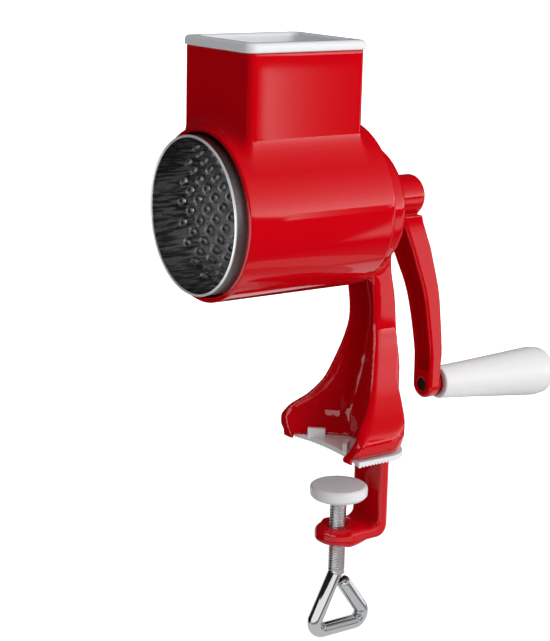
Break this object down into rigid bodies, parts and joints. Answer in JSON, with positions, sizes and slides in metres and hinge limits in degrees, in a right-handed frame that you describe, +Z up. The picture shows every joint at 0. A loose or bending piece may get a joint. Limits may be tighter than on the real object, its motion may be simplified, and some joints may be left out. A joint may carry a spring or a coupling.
{
  "type": "rotary nut grinder",
  "caption": "Hand cranked drum grinder with a square feed hopper and pusher, on a flared leg with a screw clamp for a table edge.",
  "frame": {"origin": "where the clamp screw's axis meets the underside of the foot pad, which lies on the table's top", "axes": "+Z up, -Y the way the barrel's open mouth looks, +Y towards the crank and its handle"},
  "size_m": [0.0734, 0.2057, 0.2775],
  "materials": {
    "red_plastic": "gloss",
    "white_plastic": "gloss",
    "pad_plastic": "satin",
    "handle_plastic": "satin",
    "bush_plastic": "satin",
    "insert_brass": "satin",
    "drum_steel": "bright rolled sheet",
    "hub_steel": "satin",
    "pin_steel": "satin",
    "screw_chrome": "bright plated"
  },
  "bodies": {
    "stand": {"housing": "red_plastic", "foot_pad": "pad_plastic", "axle_bush": "bush_plastic", "thread_insert": "insert_brass"},
    "pusher": {"pusher": "white_plastic"},
    "crank": {"crank_arm": "red_plastic", "crank_axle": "hub_steel", "drum_shell": "drum_steel", "drum_end_plate": "drum_steel", "drum_hub": "hub_steel", "drum_rivets": "hub_steel", "drum_washer": "hub_steel", "drum_nut": "bush_plastic", "thrust_washer": "bush_plastic", "handle_pin": "pin_steel", "handle_washer": "hub_steel"},
    "handle": {"handle_knob": "handle_plastic"},
    "clamp_pad": {"clamp_pad": "pad_plastic"},
    "clamp_screw": {"clamp_screw": "screw_chrome", "pad_retainer": "hub_steel"}
  },
  "joints": [
    {"name": "crank_turn", "type": "hinge", "parent": "stand", "child": "crank", "pos_m": [0, 0.0186, 0.1135], "axis": [0, 1, 0], "continuous": true},
    {"name": "handle_spin", "type": "hinge", "parent": "crank", "child": "handle", "pos_m": [0, 0.0468, 0.0229], "axis": [0, 0.999, -0.0454], "continuous": true},
    {"name": "pusher_lift", "type": "slide", "parent": "stand", "child": "pusher", "axis": [0, 0, 1], "range_m": [0, 0.05]},
    {"name": "clamp_feed", "type": "slide", "parent": "stand", "child": "clamp_pad", "axis": [0, 0, 1], "range_m": [-0.0125, 0.01375]},
    {"name": "clamp_turn", "type": "hinge", "parent": "clamp_pad", "child": "clamp_screw", "pos_m": [0, 0, -0.03], "axis": [0, 0, 1], "range_deg": [-3600, 3960]}
  ],
  "couplings": [
    {"joint": "clamp_turn", "follows": "clamp_feed", "rad_per_m": 5026.5}
  ]
}
